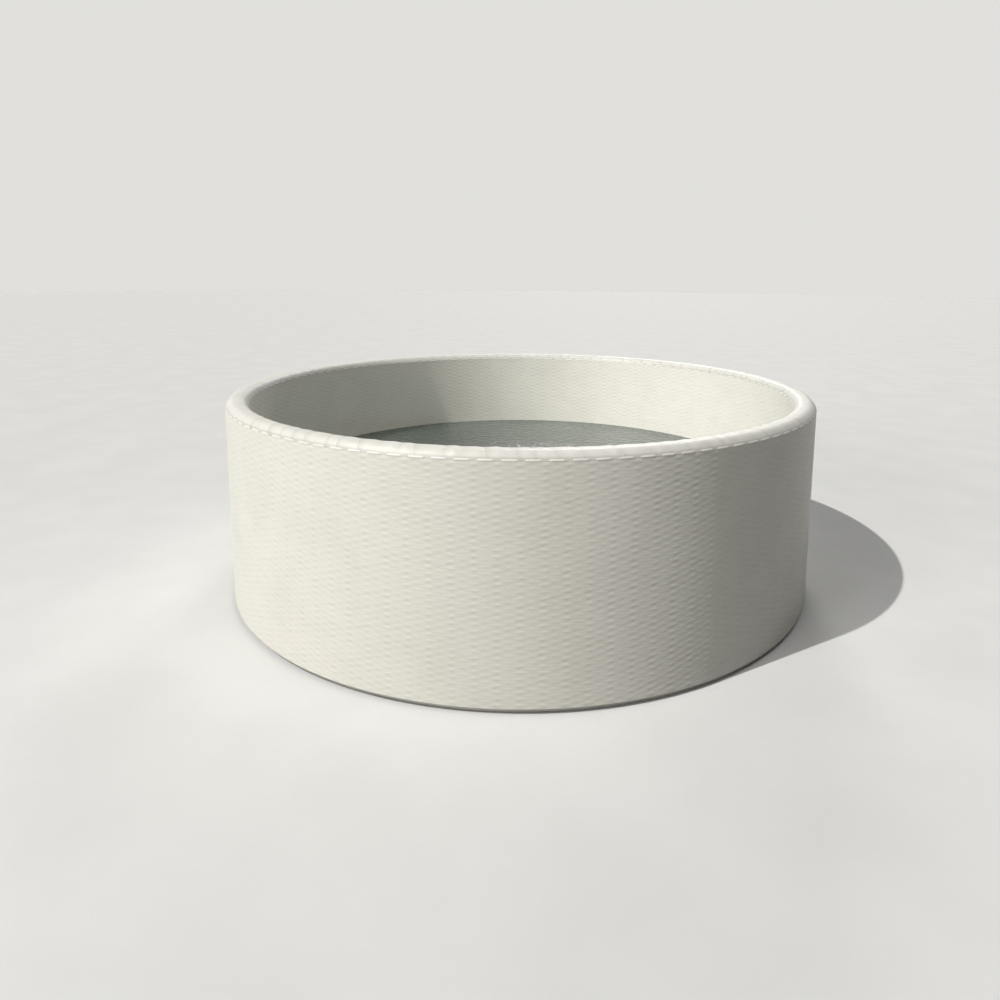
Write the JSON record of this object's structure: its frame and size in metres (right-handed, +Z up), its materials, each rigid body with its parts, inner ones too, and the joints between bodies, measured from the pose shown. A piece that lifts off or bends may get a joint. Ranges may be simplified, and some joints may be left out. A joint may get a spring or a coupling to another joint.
{
  "type": "inflatable flotation pool",
  "caption": "Round inflatable flotation pool with a woven-look drop-stitch wall, a padded rim band, a floor and hose ports at the back.",
  "frame": {"origin": "middle of the round footprint, on the floor", "axes": "+Z up along the pool's axis, +Y towards the back where the inflation valve and the hose ports are, +X to the right as seen from the front"},
  "size_m": [2.2998, 2.3007, 0.74],
  "materials": {
    "woven_wall": "satin",
    "rim_band": "satin",
    "bottom_band": "satin",
    "seam_tape": "satin",
    "chamber_web": "matte",
    "drop_thread": "matte",
    "ground_sheet": "matte",
    "foam_pad": "matte",
    "liner": "satin",
    "fitting_grey": "satin",
    "fitting_white": "satin",
    "gate_plastic": "satin",
    "handle_black": "matte",
    "seal_rubber": "matte",
    "spring_steel": "brushed"
  },
  "bodies": {
    "pool": {"outer_wall_skin": "woven_wall", "inner_wall_skin": "woven_wall", "rim_band": "rim_band", "bottom_band": "bottom_band", "wall_closing_tape": "seam_tape", "wall_closing_web": "chamber_web", "drop_stitch_threads": "drop_thread", "ground_sheet": "ground_sheet", "insulation_pad": "foam_pad", "floor_liner": "liner", "port_wall_sleeves": "fitting_grey", "port_gaskets": "seal_rubber", "port_bulkheads": "fitting_grey", "port_lock_nuts": "fitting_grey", "gate_valve_bodies": "fitting_white", "gate_valve_bonnets": "fitting_grey", "hose_tails": "fitting_grey", "inflation_valve_body": "fitting_grey", "inflation_valve_nut": "fitting_grey", "inflation_valve_spring": "spring_steel", "inflation_valve_hinge_pin": "spring_steel"},
    "suction_gate": {"suction_gate": "gate_plastic", "suction_gate_handle": "handle_black"},
    "return_gate": {"return_gate": "gate_plastic", "return_gate_handle": "handle_black"},
    "strainer": {"suction_strainer": "fitting_grey"},
    "nozzle": {"return_nozzle": "fitting_grey"},
    "valve_poppet": {"inflation_valve_poppet": "gate_plastic"},
    "valve_cap": {"inflation_valve_cap": "fitting_grey"}
  },
  "joints": [
    {"name": "suction_gate_slide", "type": "slide", "parent": "pool", "child": "suction_gate", "axis": [0, 0, 1], "range_m": [0, 0.044]},
    {"name": "return_gate_slide", "type": "slide", "parent": "pool", "child": "return_gate", "axis": [0, 0, 1], "range_m": [0, 0.044]},
    {"name": "strainer_twist", "type": "hinge", "parent": "pool", "child": "strainer", "pos_m": [-0.52946, 0.91705, 0.12], "axis": [-0.5, 0.866, 0], "range_deg": [0, 40]},
    {"name": "nozzle_aim", "type": "hinge", "parent": "pool", "child": "nozzle", "pos_m": [0.52946, 0.91705, 0.25], "axis": [0.5, 0.866, 0], "continuous": true},
    {"name": "valve_poppet_press", "type": "slide", "parent": "pool", "child": "valve_poppet", "axis": [-0.2588, -0.9659, 0], "range_m": [0, 0.008], "stiffness_N_per_m": 400, "springref_m": -0.004},
    {"name": "valve_cap_hinge", "type": "hinge", "parent": "pool", "child": "valve_cap", "pos_m": [0.29958, 1.11806, 0.565], "axis": [-0.9659, 0.2588, 0], "range_deg": [0, 165]}
  ]
}
